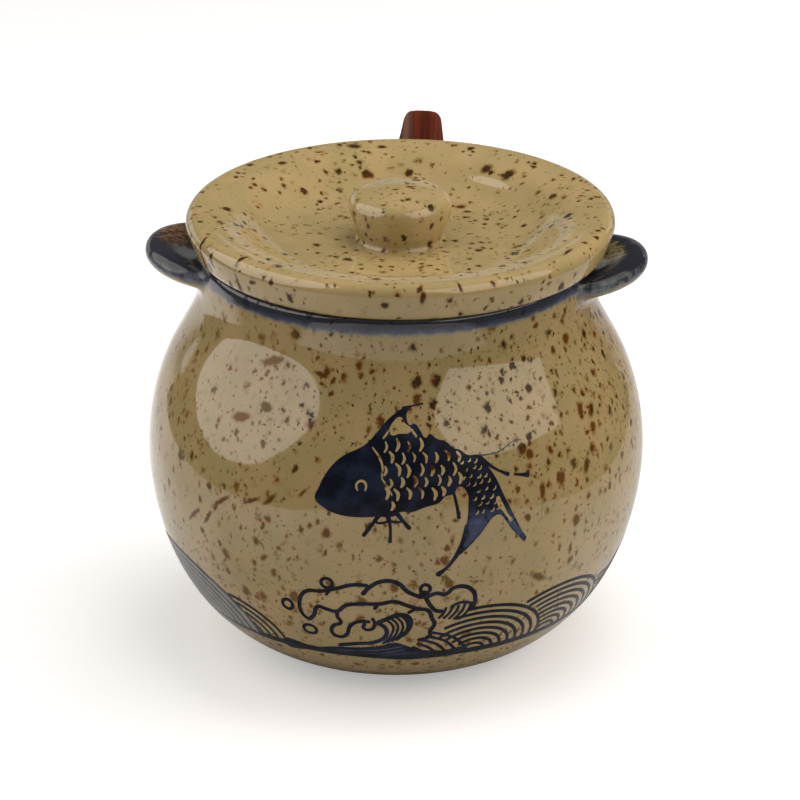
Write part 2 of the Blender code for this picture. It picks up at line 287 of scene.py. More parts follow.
# lug ears, thrown as small saucers and luted on
ear = {
    "steps": 128, "reach": 13.3, "spread": 14.2, "rootRadius": 37.5, "rim": 2.4, "dip": 1.6,
    "rise": 9.5, "tipHeight": 80.9, "keel": 6.2, "embed": 0.6, "under": 0.12,
    "rootLow": 62.0, "rootTop": 81.2, "voxel": 0.35,
    # mm from the pot's wall between which the clay is smoothed and how often: the whole lug, then the joint
    "easing": [(-9.0, 40.0, 3), (-1.2, 2.6, 50)],
    # the block that cuts the patch of wall under the lug out of the neck
    "patchMiddle": (38, 0, 75), "patchSize": (16, 42, 30),
}


def earOutline():
    middle = ear["reach"] - ear["rim"]
    line = [(0.0, ear["rim"] - ear["dip"])]
    for i in range(1, 13):
        t = i / 12
        ease = t * t * (3 - 2 * t)
        line.append((middle * t, ear["rim"] - ear["dip"] * (1 - ease)))
    line += arc(middle, 0.0, ear["rim"], 84, -60, 18)
    startR, startZ = line[-1]
    for i in range(1, 9):
        t = i / 9
        line.append((startR * (1 - t), startZ + (-ear["keel"] - startZ) * (t ** 0.92)))
    line.append((0.0, -ear["keel"]))
    return line


def wallGap(point):
    # mm between a point and the pot's outside
    level = min(point.z / mm, pot["rimHeight"] - pot["lip"])
    return math.hypot(point.x, point.y) / mm - outside(level)


def neckSolid(name, inset):
    # a plug of the neck, a little smaller than the pot's outside
    heights = [ear["rootLow"] + (ear["rootTop"] - ear["rootLow"]) * i / 24 for i in range(25)]
    wall = [(outside(z) - inset, z) for z in heights]
    return turnShape(name, [(0, heights[0])] + wall + [(0, heights[-1])], pot["steps"])


def makeEar(name, side):
    lug = turnShape(name, earOutline(), ear["steps"])
    moveMesh(lug, Matrix.Diagonal((1, ear["spread"] / ear["reach"], 1, 1)))
    rise = math.radians(ear["rise"])
    height = ear["tipHeight"] - math.sin(rise) * (ear["reach"] - ear["rim"])
    root = Matrix.Translation((ear["rootRadius"] * mm, 0, height * mm))
    moveMesh(lug, root @ Matrix.Rotation(-rise, 4, "Y"))
    # the lug is pressed onto a patch of the neck's wall, and the joint is smoothed like wet clay
    wall = neckSolid("wallPatch", ear["under"])
    clearSelection()
    bpy.ops.mesh.primitive_cube_add(size=1)
    block = bpy.context.object
    middle, size = [Vector(ear[key]) * mm for key in ("patchMiddle", "patchSize")]
    moveMesh(block, Matrix.Translation(middle) @ Matrix.Diagonal((*size, 1)))
    combine(wall, block, "INTERSECT")
    combine(lug, wall, "UNION")
    lug.data.remesh_voxel_size = ear["voxel"] * mm
    pick(lug)
    bpy.ops.object.voxel_remesh()
    for least, most, times in ear["easing"]:
        for v in lug.data.vertices:
            v.select = least < wallGap(v.co) < most
        setMode("EDIT")
        bpy.ops.mesh.vertices_smooth(factor=0.5, repeat=times)
        setMode("OBJECT")
    combine(lug, neckSolid("wallCore", ear["embed"]), "DIFFERENCE")
    if side < 0:
        moveMesh(lug, Matrix.Rotation(math.pi, 4, "Z"))
    pick(lug)
    bpy.ops.object.shade_smooth()
    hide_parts(name.replace("_glazed", ""))
    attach(lug, "jar")
    return lug


# lid with its sunk top, and the knob
cover = {
    "steps": 192, "drift": 0.9, "seat": 82.8, "radius": 42.8, "seatRadius": 41.6, "thick": 7.6,
    "topEdge": 2.2, "lowEdge": 2.0, "rimWidth": 5.1, "slopeWidth": 15.0, "steep": 0.5, "dishDepth": 6.2,
    "crown": 0.3, "dishRise": 0.04, "plugRadius": 34.1, "plugDepth": 3.0, "plugEdge": 0.8,
}


def lidOutline():
    top = cover["thick"]
    dish = top - cover["dishDepth"]
    rimInner = cover["radius"] - cover["rimWidth"]
    slopeInner = rimInner - cover["slopeWidth"]
    steep = cover["steep"]
    foot = dish + cover["dishRise"]
    line = [(0.0, dish), (slopeInner * 0.35, dish), (slopeInner * 0.7, (dish + foot) / 2)]
    for i in range(25):
        # the slope is steepest at the share called steep and eases to both sides
        t = i / 24
        rise = t * t / steep if t < steep else 1 - (1 - t) ** 2 / (1 - steep)
        height = foot + (top - cover["crown"] - foot) * rise
        line.append((slopeInner + (rimInner - slopeInner) * t, height))
    edge = cover["topEdge"]
    crownEnd = cover["radius"] - edge
    for i in range(1, 7):
        # slightly crowned rim between the slope and the rounded edge
        t = i / 7
        line.append((rimInner + (crownEnd - rimInner) * t, top - cover["crown"] * (1 - t) ** 2))
    line += arc(crownEnd, top - edge, edge, 90, -6, 12)
    low = cover["lowEdge"]
    line += arc(cover["seatRadius"] - low, low, low, -6, -90, 7)
    plug, deep, corner = cover["plugRadius"], cover["plugDepth"], cover["plugEdge"]
    line += [(plug + 0.6, 0.0), (plug + 0.2, -0.12), (plug, -0.5)]
    line += arc(plug - corner, corner - deep, corner, 0, -90, 5)
    return line + [(plug - 4.2, -deep), (plug * 0.5, -deep), (0.0, -deep)]


def makeLid():
    lid = turnShape("stoneware_lid", lidOutline(), cover["steps"])
    moveMesh(lid, Matrix.Translation((cover["drift"] * mm, 0, cover["seat"] * mm)))
    smooth(lid, 40)
    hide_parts("lid")
    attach(lid, "lid")
    return lid


knob = {
    "steps": 128, "radius": 10.3, "stem": 8.2, "height": 10.0, "crown": 0.6, "topEdge": 2.6,
    "cove": 0.6, "sink": 0.3,
}


def knobOutline():
    top = knob["height"]
    topEdge = knob["topEdge"]
    line = [(0.0, top)]
    flat = knob["radius"] - topEdge
    for i in range(1, 8):
        t = i / 8
        line.append((flat * t, top - knob["crown"] * t ** 2.4))
    widest = top - knob["crown"] - topEdge
    line += arc(flat, widest, topEdge, 84, 0, 9)
    foot = knob["cove"]
    for i in range(1, 15):
        t = i / 14 * (widest - foot) / widest
        line.append((knob["radius"] + (knob["stem"] - knob["radius"]) * t ** 1.4, widest * (1 - t)))
    stem = line[-1][0]
    # glaze pools in a cove where the stem meets the lid
    for i in range(1, 8):
        a = math.radians(90 * i / 7)
        line.append((stem + foot * (1 - math.cos(a)), foot * (1 - math.sin(a)) - knob["sink"] * i / 7))
    line.append((0.0, -knob["sink"]))
    return line


def makeKnob():
    grip = turnShape("stoneware_knob", knobOutline(), knob["steps"])
    rise = cover["seat"] + cover["thick"] - cover["dishDepth"] + knob["sink"]
    moveMesh(grip, Matrix.Translation((cover["drift"] * mm, 0, rise * mm)))
    smooth(grip, 45)
    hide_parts("lid_knob")
    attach(grip, "lid")
    return grip


# the painting, a leaping carp over rolling waves: an old and common motif, drawn flat, wrapped onto the belly
# points are mm round the belly from the front and mm above the table
# a brush width stands for each point or for the whole line
carp = {
    "outline": [
        (-12.2, 48.6), (-11.5, 51.0), (-10.5, 53.2), (-8.8, 55.6), (-6.6, 57.4), (-4.0, 58.6), (-2.0, 59.8),
        (-0.2, 61.6), (1.6, 63.4), (3.4, 64.7), (5.4, 65.7), (6.7, 66.0), (6.2, 64.6), (6.8, 62.9),
        (7.9, 63.1), (9.2, 61.7), (10.1, 60.6), (11.1, 61.2), (12.5, 60.3), (14.4, 59.7), (15.8, 58.5),
        (17.2, 58.0), (18.6, 57.0), (21.3, 56.6), (22.5, 54.8), (24.2, 52.0), (25.5, 48.8), (26.7, 46.0),
        (28.0, 43.2), (29.3, 40.4), (30.2, 38.1), (28.6, 39.4), (27.0, 41.3), (25.6, 43.6), (24.4, 44.7),
        (23.0, 44.2), (21.6, 42.6), (20.2, 40.9), (18.6, 39.3), (17.3, 38.1), (16.4, 37.5), (16.3, 38.6),
        (17.0, 40.8), (17.7, 43.6), (18.1, 46.6), (18.0, 50.0), (16.6, 51.3), (15.2, 50.0), (13.6, 49.6),
        (12.3, 48.5), (9.6, 47.8), (6.8, 46.9), (4.8, 47.0), (3.4, 46.1), (0.2, 46.0), (-4.0, 45.7),
        (-8.0, 46.1), (-10.8, 47.3)],
    "spines": [
        ([(5.4, 65.7), (7.6, 66.1), (10.0, 66.4)], [0.7, 0.3, 0.35]),
        ([(17.6, 43.5), (17.0, 40.5), (16.1, 38.0), (15.0, 36.2), (13.6, 34.5), (12.1, 33.3)],
         [0.5, 0.8, 1.05, 0.8, 0.7, 1.25]),
        ([(0.6, 46.3), (-0.4, 44.9), (-1.5, 43.3), (-2.4, 42.0)], [1.0, 0.7, 0.8, 0.8]),
        ([(2.2, 46.4), (2.7, 44.5), (2.8, 42.6), (2.7, 40.8)], [1.1, 0.65, 0.6, 0.8]),
        ([(4.2, 46.5), (5.2, 45.2), (6.5, 43.6)], [1.0, 0.7, 0.9]),
        ([(-0.5, 45.0), (1.0, 44.7), (2.6, 45.1), (4.2, 44.9), (5.2, 45.2)], 0.5),
        ([(15.3, 50.2), (15.8, 47.8), (16.2, 45.1)], [0.6, 0.6, 0.85]),
        ([(21.2, 56.1), (23.6, 54.2), (25.6, 52.9), (27.0, 52.2)], [1.2, 0.6, 0.45, 0.9]),
        ([(28.3, 51.95), (29.8, 51.6), (31.5, 51.2)], [0.35, 0.6, 1.0])],
    "whisker": [
        ([(21.0, 56.6), (23.5, 56.5), (26.0, 56.8), (28.8, 57.9), (31.2, 58.0)],
         [0.4, 0.22, 0.2, 0.15, 0.1])],
    "webs": [
        [(2.7, 61.4), (4.5, 61.4), (7.1, 62.1), (5.8, 63.2), (5.0, 64.2), (3.8, 63.9)],
        [(24.3, 48.4), (25.1, 47.2), (26.2, 44.7), (27.1, 42.8), (26.1, 43.9), (25.1, 45.4), (24.3, 46.4)]],
    "marks": [
        ([(1.2, 60.6), (2.0, 61.5), (3.0, 62.8)], [0.35, 0.45, 0.3]),
        ([(7.2, 62.1), (7.7, 61.5), (8.2, 60.9)], 0.5),
        ([(-1.0, 59.0), (0.5, 57.2), (1.2, 55.4), (1.1, 53.5), (2.1, 52.1), (3.1, 50.2)],
         [0.2, 0.5, 0.45, 0.3, 0.42, 0.25]),
        ([(-3.7, 51.0), (-4.0, 51.9), (-3.4, 52.7), (-2.5, 52.7), (-2.0, 51.9), (-2.2, 51.0)],
         [0.3, 0.45, 0.5, 0.5, 0.45, 0.3])],
    # staggered rows of scales, then short slanting dashes on the tail, each a little out of its row
    "loose": 0.25,
    # a mark stays this far inside the outline
    "clear": [(0.6, 0), (-0.6, 0), (0, 0.5), (0, -0.5)],
    "scales": {"start": (1.7, 59.3), "step": (2.32, -2.2), "rows": 6, "columns": 7,
               "long": 2.15, "wide": 0.62, "lean": 4, "seed": 4},
    "dashes": {"start": (17.4, 55.8), "step": (1.55, -1.4), "rows": 8, "columns": 6,
               "long": 1.0, "wide": 0.34, "lean": -48, "seed": 9},
    "thin": [
        [(26.3, 43.1), (27.5, 41.3), (29.2, 39.5), (29.3, 39.9), (28.3, 41.7), (27.4, 43.0)],
        [(18.5, 44.2), (18.0, 41.2), (17.3, 38.9), (18.9, 40.3), (20.3, 41.9), (21.8, 43.8), (20.2, 44.6)]],
}
waves = {
    "foam": [
        ([(-14.9, 20.8), (-16.2, 22.0), (-16.3, 25.4), (-14.6, 28.0), (-11.2, 28.6), (-8.0, 29.7),
            (-4.6, 30.9), (-1.8, 30.9)], 0.90),
        ([(-10.3, 27.8), (-9.8, 28.8)], 0.64),
        ([(-2.8, 28.8), (-1.2, 30.7), (1.4, 32.1), (4.2, 31.7), (6.2, 29.6), (8.6, 28.3)], 0.96),
        ([(-14.9, 20.8), (-13.6, 22.2), (-12.4, 24.6), (-10.8, 24.3), (-8.4, 24.0), (-6.4, 25.7),
            (-3.0, 26.4), (0.6, 26.6), (3.6, 27.2), (6.2, 26.2), (8.4, 25.3), (10.4, 24.8), (11.4, 22.6),
            (12.0, 21.2), (11.2, 19.2), (11.2, 17.8), (8.8, 16.9)], 0.96),
        ([(-0.5, 25.3), (0.2, 26.3)], 0.77),
        ([(-8.3, 24.0), (-8.4, 22.6), (-7.8, 21.2), (-9.6, 20.0), (-10.1, 18.0), (-8.4, 17.1), (-6.8, 18.1),
            (-6.0, 20.2), (-4.2, 21.7), (-1.7, 21.9)], 0.90),
        ([(-1.0, 22.8), (-0.6, 21.4), (-1.5, 19.8), (-3.0, 20.1), (-2.7, 21.3)], 0.83),
        ([(6.4, 24.4), (7.6, 25.1)], 0.77),
        ([(0.1, 21.7), (2.4, 23.0), (5.0, 23.9), (6.7, 22.9), (6.7, 20.4), (5.2, 18.2)], 1.09),
        ([(0.1, 21.7), (1.8, 20.0), (1.5, 17.9), (-0.8, 16.3), (-5.0, 15.5), (-9.0, 14.6)], 1.02),
        ([(10.2, 28.2), (12.0, 28.9), (13.8, 28.5), (15.4, 29.8), (17.4, 30.0), (19.5, 28.6), (20.2, 26.2),
            (19.7, 23.8)], 0.96),
        ([(9.8, 28.2), (11.0, 25.8), (12.1, 24.6), (13.4, 24.3)], 0.96),
        ([(15.2, 25.2), (17.2, 26.1), (19.8, 25.5)], 0.70)],
    # ribs in the curl of the breaking wave, under the cloud of spray on the right, and the fan of water
    # in front of the first mound: the points of the first rib and how far each one shifts from rib to rib
    "ribs": [
        {"count": 4, "line": 0.6, "points": [(1.9, 22.5), (3.2, 21.0), (3.0, 18.8), (1.0, 15.9)],
         "steps": [(1, 0.4), (1, 0.3), (1, 0.2), (1, 0.35)]},
        {"count": 5, "line": 0.62, "points": [(19.4, 25.7), (19.0, 24.0), (17.2, 21.8)],
         "steps": [(-1.3, -0.15), (-1.3, 0), (-1.1, 0.2)]},
        {"count": 5, "line": 0.74, "points": [(11.6, 18.8), (16.6, 16.9), (20.6, 12.6)],
         "steps": [(-1, -1), (-1.8, -0.8), (-2.5, 0)]}],
    # drops of spray: middle, half width, half height
    "drops": [
        (-10.0, 30.7, 1.15, 1.1), (-19.3, 23.8, 1.15, 1.2), (-15.2, 18.1, 1.5, 1.15), (9.7, 30.1, 0.95, 1.0)],
    "knot": ([(8.5, 28.2), (9.5, 28.7), (10.4, 28.2)], [1.1, 2.3, 1.1]),
    # mounds of water, those in front first: middle, half width, crest, degrees that the lines go round
    "mounds": [
        (22.0, 17.4, 24.1, 100), (42.0, 18.0, 24.3, 150), (-54.0, 23.0, 25.2, 180),
        (-37.0, 14.0, 21.2, 120), (78.0, 20.0, 23.4, 180), (110.0, 20.0, 25.0, 180),
        (-92.0, 20.0, 23.4, 180), (-124.0, 18.0, 24.6, 180), (142.0, 19.0, 23.0, 180),
        (60.0, 14.0, 20.0, 180), (-73.0, 12.0, 20.0, 180), (94.0, 14.0, 20.5, 180)],
    # the mound on the left is laid over a grey wash with paler lines, a painted reflection of the paper
    "veiledByReflection": [2],
    "base": 12.3, "pitch": 1.42, "line": 0.80, "moundRim": 0.3, "dropLine": 0.78,
    "sea": [
        (-24.0, 12.2), (-15.1, 12.9), (-9.9, 13.9), (-4.3, 14.4), (0.3, 15.2), (3.7, 16.2), (6.3, 15.2),
        (9.4, 13.9), (14.1, 13.2), (21.0, 12.3), (17.9, 11.3), (12.1, 11.0), (6.5, 10.8), (0.1, 11.1),
        (-8.0, 11.4), (-16.0, 11.5)],
    "glints": [
        ([(-10.1, 12.9), (-4.5, 13.4), (0.2, 13.9), (4.0, 14.8), (6.0, 15.4)], [0.12, 0.3, 0.35, 0.3, 0.12]),
        ([(-6.0, 12.5), (-3.0, 12.6), (2.5, 13.3), (6.0, 14.2)], [0.1, 0.25, 0.3, 0.12]),
        ([(1.0, 12.3), (5.0, 12.7), (9.0, 13.1)], [0.1, 0.25, 0.12])],
    "shoreHeight": 12.1, "shoreWidth": 1.7, "shoreBack": 1.1,
}
# mm: half the paint's thickness, how high the first and the second coat lie, and the size of the cells
# a stroke runs on past its ends by a share of its width, and is narrower there
paint = {"thick": 0.035, "first": 0.02, "second": 0.05, "cell": 1.5, "past": 0.3, "narrow": 0.35, "flat": 3.0}


def onBelly(a, h, lift):
    # flat drawing to the pot: a round the belly, h up, lift out of the glaze
    turn = a / pot["bellyRadius"]
    slope = (outside(h + 0.05) - outside(h - 0.05)) / 0.1
    normal = Vector((math.sin(turn), -math.cos(turn), -slope)).normalized()
    r = outside(h)
    return (Vector((r * math.sin(turn), -r * math.cos(turn), h)) + normal * lift) * mm, normal


def wrapPaint(obj, level, material):
    # the sheet lies in X and Z, its thickness from -1 to 1 in Y; its shading follows the pot's own curve
    mesh = obj.data
    normals = []
    for v in mesh.vertices:
        v.co, normal = onBelly(v.co.x, v.co.z, paint[level] - paint["thick"] * v.co.y)
        normals.append(normal)
    pick(obj)
    setMode("EDIT")
    takeWholeMesh()
    bpy.ops.mesh.normals_make_consistent(inside=False)
    setMode("OBJECT")
    bpy.ops.object.shade_smooth()
    mesh.normals_split_custom_set_from_vertices(normals)
    dress(obj, material)
    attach(obj, "jar")


def newCurve(name, dimensions):
    curve = bpy.data.curves.new(name, "CURVE")
    curve.dimensions = dimensions
    curve.resolution_u = 5
    obj = bpy.data.objects.new(name, curve)
    bpy.context.scene.collection.objects.link(obj)
    return obj


def addStroke(obj, knots, widths, closed):
    stroke = obj.data.splines.new("BEZIER")
    stroke.bezier_points.add(len(knots) - 1)
    for knot, spot, width in zip(stroke.bezier_points, knots, widths):
        knot.co = spot
        knot.radius = width / 2
        knot.handle_left_type = knot.handle_right_type = "AUTO"
    stroke.use_cyclic_u = closed


def brushLines(name, lines, level, material):
    # round brush strokes pressed flat onto the pot, rounded off at both ends
    obj = newCurve(name, "3D")
    obj.data.bevel_depth = 1.0
    obj.data.bevel_resolution = 2
    obj.data.use_fill_caps = True
    for points, widths in lines:
        closed = points[0] == points[-1]
        if not isinstance(widths, list):
            widths = [widths] * len(points)
        knots = [Vector((a, 0, h)) for a, h in points]
        if closed:
            knots, widths = knots[:-1], widths[:-1]
        else:
            past, narrow = paint["past"], paint["narrow"]
            knots.insert(0, knots[0] + (knots[0] - knots[1]).normalized() * widths[0] * past)
            knots.append(knots[-1] + (knots[-1] - knots[-2]).normalized() * widths[-1] * past)
            widths = [widths[0] * narrow] + widths + [widths[-1] * narrow]
        addStroke(obj, knots, widths, closed)
    pick(obj)
    bpy.ops.object.convert(target="MESH")
    for v in obj.data.vertices:
        v.co.y = max(-1.0, min(1.0, v.co.y * paint["flat"]))
    wrapPaint(obj, level, material)


def brushFills(name, outlines, level, material):
    # filled shapes, cut into small cells so that they bend with the pot
    obj = newCurve(name, "2D")
    obj.data.fill_mode = "BOTH"
    for points in outlines:
        addStroke(obj, [(a, h, 0) for a, h in points], [2] * len(points), True)
    pick(obj)
    bpy.ops.object.convert(target="MESH")
    setMode("EDIT")
    for axis in (0, 1):
        values = [point[axis] for points in outlines for point in points]
        for i in range(1, int((max(values) - min(values)) / paint["cell"]) + 1):
            at = min(values) + paint["cell"] * i
            takeWholeMesh()
            bpy.ops.mesh.bisect(plane_co=(at, at, 0), plane_no=(1 - axis, axis, 0))
    takeWholeMesh()
    bpy.ops.mesh.extrude_region_move(TRANSFORM_OT_translate={"value": (0, 0, 2)})
    takeWholeMesh()
    bpy.ops.transform.translate(value=(0, 0, -1))
    setMode("OBJECT")
    moveMesh(obj, Matrix.Rotation(math.radians(90), 4, "X"))
    wrapPaint(obj, level, material)


def inShape(a, h, outline):
    # whether a point of the drawing lies within a closed outline
    within = False
    for (a1, h1), (a2, h2) in zip(outline, outline[1:] + outline[:1]):
        if (h1 > h) != (h2 > h) and a < a1 + (h - h1) * (a2 - a1) / (h2 - h1):
            within = not within
    return within


def scaleMarks(rows):
    # one bent dab for each scale, where it lies wholly on the carp
    chance = random.Random(rows["seed"])
    (startA, startH), (stepA, stepH), loose = rows["start"], rows["step"], carp["loose"]
    marks = []
    for row in range(rows["rows"]):
        for column in range(rows["columns"]):
            a = startA + stepA * (column + 0.5 * (row % 2)) + chance.uniform(-loose, loose)
            h = startH + stepH * row + chance.uniform(-loose, loose)
            long = rows["long"] * chance.uniform(0.75, 1.1)
            wide = rows["wide"] * chance.uniform(0.8, 1.3)
            lean = math.radians(rows["lean"] + chance.uniform(-12, 14))
            ends = [(a - s * long / 2 * math.sin(lean), h + s * long / 2 * math.cos(lean)) for s in (1, -1)]
            around = [(p + da, q + dh) for p, q in ends for da, dh in carp["clear"]]
            if all(inShape(p, q, carp["outline"]) for p, q in around):
                bow = (a + 0.22 * long * math.cos(lean), h + 0.22 * long * math.sin(lean))
                marks.append(([ends[0], bow, ends[1]], [wide * 0.45, wide, wide * 0.6]))
    return marks


def moundHides(mound, a, h):
    middle, half, crest, last = mound
    base, rim = waves["base"], waves["moundRim"]
    return ((a - middle) / (half + rim)) ** 2 + ((h - base) / (crest - base + rim)) ** 2 < 1


def moundLines(veiledByReflection):
    # nested arcs of water; a mound hides what lies behind it
    lines = []
    base = waves["base"]
    for n, (middle, half, crest, last) in enumerate(waves["mounds"]):
        if (n in waves["veiledByReflection"]) != veiledByReflection:
            continue
        rise = crest - base
        for ring in range(int(rise / waves["pitch"])):
            part = 1 - ring * waves["pitch"] / rise
            # the inner arcs of a cut-off mound go further round
            stop = last + (140 - last) * min(ring / 3, 1) if last < 120 else last
            line = []
            for degrees in range(0, int(stop) + 1, 5):
                a = middle + half * part * math.cos(math.radians(degrees))
                h = base + rise * part * math.sin(math.radians(degrees))
                hidden = any(moundHides(mound, a, h) for mound in waves["mounds"][:n])
                if hidden or abs(a) > math.pi * pot["bellyRadius"]:
                    lines.append(line)
                    line = []
                else:
                    line.append((a, h))
            lines.append(line)
    return [(line, waves["line"]) for line in lines if len(line) > 1]


def foamLines():
    lines = list(waves["foam"]) + [waves["knot"]]
    for a, h, wide, high in waves["drops"]:
        turns = [math.tau * i / 8 for i in range(8)]
        ring = [(a + wide * math.cos(t), h + high * math.sin(t)) for t in turns]
        lines.append((ring + ring[:1], waves["dropLine"]))
    for rib in waves["ribs"]:
        for i in range(rib["count"]):
            points = [(a + da * i, h + dh * i) for (a, h), (da, dh) in zip(rib["points"], rib["steps"])]
            lines.append((points, rib["line"]))
    return lines


# outlines of the grey painted reflection laid under the left mound
def reflectionOutlines():
    outlines = []
    for n in waves["veiledByReflection"]:
        middle, half, crest, last = waves["mounds"][n]
        rise = crest - waves["base"]
        turns = [math.radians(degrees) for degrees in range(0, 181, 12)]
        outlines.append([(middle + half * math.cos(t), waves["base"] + rise * math.sin(t)) for t in turns])
    return outlines


def shoreLine():
    # the band that closes the painting below, strongest at the front
    reach = math.pi * pot["bellyRadius"]
    points = [(reach * i / 40, waves["shoreHeight"]) for i in range(-40, 41)]
    back, gain = waves["shoreBack"], waves["shoreWidth"] - waves["shoreBack"]
    return [(points, [back + gain * max(math.cos(a / pot["bellyRadius"]), 0) for a, h in points])]


def makePainting(cobalt, thinned, veiledByReflection, cream):
    brushFills("carp_body", [carp["outline"]], "first", cobalt)
    brushLines("carp_fins", carp["spines"], "first", cobalt)
    brushLines("carp_whisker", carp["whisker"], "first", thinned)
    brushFills("carp_fin_webs", carp["webs"], "second", cream)
    brushFills("carp_tail_wash", carp["thin"], "second", thinned)
    marks = carp["marks"] + scaleMarks(carp["scales"]) + scaleMarks(carp["dashes"])
    brushLines("carp_scales", marks, "second", cream)
    brushLines("wave_foam", foamLines(), "first", cobalt)
    brushLines("wave_mounds", moundLines(False), "first", cobalt)
    # the left mound's grey wash and paler lines are painted reflection
    brushFills("wave_painted_reflection", reflectionOutlines(), "first", veiledByReflection)
    brushLines("wave_mound_reflected", moundLines(True), "second", thinned)
    brushLines("wave_band", shoreLine(), "first", cobalt)
    brushFills("wave_sea", [waves["sea"]], "first", cobalt)
    brushLines("wave_glints", waves["glints"], "second", thinned)


# materials
def colour(code):
    # sRGB hex to Blender's linear values
    parts = [int(code[i:i + 2], 16) / 255 for i in (1, 3, 5)]
    return [p / 12.92 if p <= 0.04045 else ((p + 0.055) / 1.055) ** 2.4 for p in parts] + [1.0]


# the nodes used here: Blender's name, the inputs that take the values in turn, the output used, the settings
# a pattern's scale counts its spots per metre, so 1000 draws them 1 mm wide and 850 draws them 1.2 mm wide
nodeKinds = {
    "object place": ("TexCoord", [], "Object", {}),
    "sky place": ("TexCoord", [], "Generated", {}),
    "rays": ("LightPath", [], None, {}),
    "x y z": ("SeparateXYZ", [0], None, {}),
    "red green blue": ("SeparateColor", [0], None, {}),
    "flat vector": ("CombineXYZ", [0, 1], 0, {}),
    "move": ("VectorMath", [0, 1], 0, {"operation": "ADD"}),
    "move back": ("VectorMath", [0, 1], 0, {"operation": "SUBTRACT"}),
    "stretch": ("VectorMath", [0, 3], 0, {"operation": "SCALE"}),
    "length": ("VectorMath", [0], "Value", {"operation": "LENGTH"}),
    "lay": ("Mapping", ["Vector", "Location", "Rotation", "Scale"], 0, {"vector_type": "TEXTURE"}),
    "noise": ("TexNoise", ["Vector", "Scale", "Detail"], "Fac", {}),
    "noise colours": ("TexNoise", ["Vector", "Scale", "Detail"], "Color", {}),
    "cells": ("TexVoronoi", ["Vector", "Scale"], None, {}),
    "ramp": ("MapRange", [0, 1, 2, 3, 4], 0, {"interpolation_type": "SMOOTHSTEP"}),
    "blend": ("Mix", [0, 6, 7], 2, {"data_type": "RGBA"}),
    "bump": ("Bump", ["Height", "Distance"], 0, {}),
    "coat": ("BsdfPrincipled", ["Base Color", "Roughness", "IOR", "Specular IOR Level", "Normal"], 0, {}),
    "matt": ("BsdfDiffuse", ["Color"], 0, {}),
    "glow": ("Emission", ["Color", "Strength"], 0, {}),
    "both": ("AddShader", [0, 1], 0, {}),
    "surface": ("OutputMaterial", [0], None, {}),
    "sky light": ("Background", ["Color", "Strength"], 0, {}),
    "sky": ("OutputWorld", [0], None, {}),
}


def addNode(tree, kind, *values):
    # a kind that isn't listed is a sum and is called by its operation
    name, inputs, output, settings = nodeKinds.get(kind, ("Math", [0, 1, 2], 0, {"operation": kind.upper()}))
    node = tree.nodes.new("ShaderNode" + name)
    for key, value in settings.items():
        setattr(node, key, value)
    for key, value in zip(inputs, values):
        if isinstance(value, bpy.types.NodeSocket):
            tree.links.new(value, node.inputs[key])
        else:
            node.inputs[key].default_value = value
    return node.outputs if output is None else node.outputs[output]


def fade(add, *edges, unit=mm):
    # 1 inside all the edges: each one is a value, where it starts to count and where it counts in full
    mask = None
    for value, start, full in edges:
        step = add("ramp", value, start * unit, full * unit)
        mask = step if mask is None else add("multiply", mask, step)
    return mask


def newMaterial(name):
    mat = bpy.data.materials.new(name)
    mat.use_nodes = True
    mat.node_tree.nodes.clear()
    return mat, partial(addNode, mat.node_tree)


glaze = {
    "cream": "#A59262", "warm": "#AF9768", "olive": "#94884F",
    "rust": "#8A5A1C", "moss": "#7A6523", "iron": "#2C1203", "ironRed": "#5E360A",
    # the iron mirrors less than the glaze, and the jar's glaze is a little darker than its lid's, a painted
    # shade over the whole jar
    "ior": 1.85, "roughness": 0.06, "mirror": 0.5, "ironMirror": 0.14, "jarPaintedShade": 0.14,
    # mm: how high the surface swims, the fine peel stands and the iron is pitted
    "swim": 0.10, "peel": 0.004, "pit": 0.006,
    # heights in mm between which the glaze turns from the jar's to the lid's
    "lidFrom": 82.5, "lidFull": 84.5,
    # iron spots: cell size, least and greatest radius in mm, share of cells that hold one, seed, length,
    # turn in degrees, side of the jar (0 is all round) and how ragged they are in mm
    "spots": [
        (3.4, 0.44, 1.15, 0.82, 3.1, 1.4, 0, 0, 1.7),
        (1.9, 0.30, 0.68, 0.85, 7.7, 1.4, 0, 0, 1.7),
        (1.1, 0.15, 0.34, 0.72, 1.9, 1.2, 0, 0, 1.7),
        # runs in the glaze: slanting ones low on the left, upright ones on the right
        (2.1, 0.27, 0.56, 0.75, 5.3, 3.6, 44, -1, 0.5),
        (2.1, 0.25, 0.58, 0.50, 8.8, 2.8, 6, 1, 1.0)],
    "blotDepth": 2.5, "blotDepthTop": 12,
}
